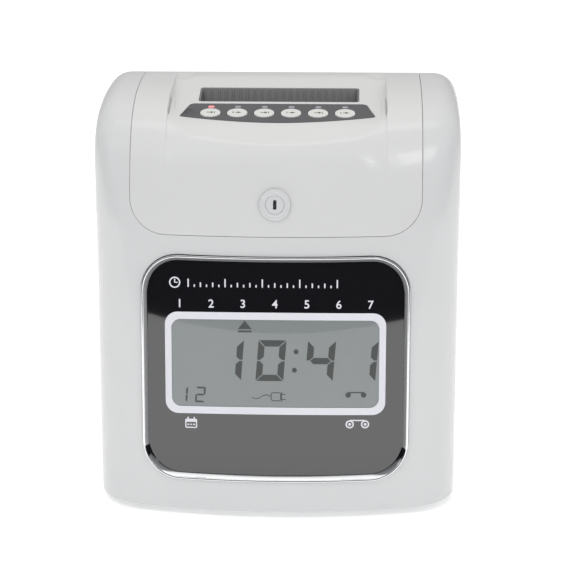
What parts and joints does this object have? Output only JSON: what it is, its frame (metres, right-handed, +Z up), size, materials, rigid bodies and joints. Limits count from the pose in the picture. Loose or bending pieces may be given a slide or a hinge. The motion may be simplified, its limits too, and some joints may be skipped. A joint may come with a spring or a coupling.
{
  "type": "punch time clock",
  "caption": "Office time recorder with a lockable hinged top cover, card slot, status keys, display window and an inner card feed and printer; stands on feet or hangs on two studs.",
  "frame": {"origin": "on the surface it stands on, under the middle of its outer box", "axes": "+X to the right seen from the front, -Y out of the front, +Z up"},
  "size_m": [0.2, 0.1427, 0.23],
  "materials": {
    "case_white": "glossy moulded",
    "cover_white": "glossy moulded",
    "tray_grey": "fine texture",
    "foot_rubber": "matte",
    "chrome": "polished",
    "lens_black": "high gloss",
    "lcd": "satin",
    "black_plastic": "fine texture",
    "label_film": "satin film",
    "key_white": "satin",
    "led_clear": "diffuse",
    "led_red": "lit",
    "board_green": "lacquered",
    "steel": "zinc plated",
    "rod_steel": "ground",
    "guide_plastic": "satin",
    "roller_rubber": "matte",
    "gear_nylon": "satin",
    "brass": "turned",
    "motor_steel": "plated",
    "head_alu": "cast",
    "belt_rubber": "matte",
    "ribbon_ink": "inked",
    "components": "mixed",
    "transformer": "laminated core",
    "battery_wrap": "shrink wrap",
    "cable_grey": "satin"
  },
  "bodies": {
    "case": {"housing": "case_white", "rear_cover": "tray_grey", "base_tray": "tray_grey", "rubber_feet": "foot_rubber", "hinge_pins": "rod_steel", "window_trim": "chrome", "display_lens": "lens_black", "lcd_shroud": "black_plastic", "lcd_glass": "lcd", "lcd_frame": "guide_plastic", "lcd_board": "board_green", "chassis": "steel", "card_guide_front": "guide_plastic", "card_guide_rear": "guide_plastic", "platen": "roller_rubber", "feed_motor": "motor_steel", "guide_rods": "rod_steel", "carriage_plate": "steel", "carriage_motor": "motor_steel", "belt": "belt_rubber", "ribbon_cartridge": "black_plastic", "ribbon": "ribbon_ink", "main_board": "board_green", "board_parts": "components", "transformer": "transformer", "battery_pack": "battery_wrap", "power_inlet": "black_plastic", "key_cable": "cable_grey", "base_screws": "steel", "rear_screws": "steel", "inner_screws": "steel"},
    "cover": {"top_cover": "cover_white", "lock_barrel": "chrome", "lock_nut": "steel", "card_mouth": "black_plastic", "key_label": "label_film", "key_board": "board_green", "key_switches": "components", "led_lenses": "led_clear", "led_lens_lit": "led_red", "cover_screws": "steel"},
    "lock": {"lock_plug": "chrome", "lock_cam": "steel"},
    "button_1": {"key_1": "key_white"},
    "button_2": {"key_2": "key_white"},
    "button_3": {"key_3": "key_white"},
    "button_4": {"key_4": "key_white"},
    "button_5": {"key_5": "key_white"},
    "button_6": {"key_6": "key_white"},
    "feed": {"feed_shaft": "rod_steel", "feed_rollers": "roller_rubber", "feed_gear": "gear_nylon"},
    "motor_pinion": {"feed_pinion": "brass"},
    "pinch": {"pinch_shaft": "rod_steel", "pinch_rollers": "roller_rubber"},
    "print_carriage": {"carriage": "black_plastic", "print_head": "head_alu"},
    "belt_drive": {"drive_pulley": "brass"},
    "belt_idler": {"idler_pulley": "gear_nylon"},
    "ribbon_winder": {"ribbon_knob": "black_plastic"}
  },
  "joints": [
    {"name": "cover_hinge", "type": "hinge", "parent": "case", "child": "cover", "pos_m": [0, 0.0682, 0.209], "axis": [-1, 0, 0], "range_deg": [0, 75]},
    {"name": "lock_turn", "type": "hinge", "parent": "cover", "child": "lock", "pos_m": [0, -0.061, 0.175], "axis": [0, -0.9854, 0.1702], "range_deg": [0, 90]},
    {"name": "press_1", "type": "slide", "parent": "cover", "child": "button_1", "axis": [0, 0.2334, -0.9724], "range_m": [0, 0.0009], "stiffness_N_per_m": 500, "springref_m": -0.0006},
    {"name": "press_2", "type": "slide", "parent": "cover", "child": "button_2", "axis": [0, 0.2334, -0.9724], "range_m": [0, 0.0009], "stiffness_N_per_m": 500, "springref_m": -0.0006},
    {"name": "press_3", "type": "slide", "parent": "cover", "child": "button_3", "axis": [0, 0.2334, -0.9724], "range_m": [0, 0.0009], "stiffness_N_per_m": 500, "springref_m": -0.0006},
    {"name": "press_4", "type": "slide", "parent": "cover", "child": "button_4", "axis": [0, 0.2334, -0.9724], "range_m": [0, 0.0009], "stiffness_N_per_m": 500, "springref_m": -0.0006},
    {"name": "press_5", "type": "slide", "parent": "cover", "child": "button_5", "axis": [0, 0.2334, -0.9724], "range_m": [0, 0.0009], "stiffness_N_per_m": 500, "springref_m": -0.0006},
    {"name": "press_6", "type": "slide", "parent": "cover", "child": "button_6", "axis": [0, 0.2334, -0.9724], "range_m": [0, 0.0009], "stiffness_N_per_m": 500, "springref_m": -0.0006},
    {"name": "feed_spin", "type": "hinge", "parent": "case", "child": "feed", "pos_m": [0, -0.0033, 0.082], "axis": [1, 0, 0], "continuous": true},
    {"name": "pinion_spin", "type": "hinge", "parent": "case", "child": "motor_pinion", "pos_m": [-0.07, -0.02408, 0.07], "axis": [1, 0, 0], "continuous": true},
    {"name": "pinch_spin", "type": "hinge", "parent": "case", "child": "pinch", "pos_m": [0, 0.0103, 0.082], "axis": [1, 0, 0], "continuous": true},
    {"name": "carriage_slide", "type": "slide", "parent": "case", "child": "print_carriage", "axis": [1, 0, 0], "range_m": [-0.02, 0.02]},
    {"name": "drive_pulley_spin", "type": "hinge", "parent": "case", "child": "belt_drive", "pos_m": [0.05, -0.042, 0.166], "axis": [0, 1, 0], "continuous": true},
    {"name": "idler_pulley_spin", "type": "hinge", "parent": "case", "child": "belt_idler", "pos_m": [-0.05, -0.042, 0.166], "axis": [0, 1, 0], "continuous": true},
    {"name": "ribbon_knob_spin", "type": "hinge", "parent": "case", "child": "ribbon_winder", "pos_m": [-0.04, -0.023, 0.195], "axis": [0, 0, 1], "continuous": true}
  ],
  "couplings": [
    {"joint": "pinion_spin", "follows": "feed_spin", "ratio": -3},
    {"joint": "pinch_spin", "follows": "feed_spin", "ratio": -1.1667},
    {"joint": "drive_pulley_spin", "follows": "carriage_slide", "rad_per_m": -151.52},
    {"joint": "idler_pulley_spin", "follows": "carriage_slide", "rad_per_m": -151.52}
  ]
}
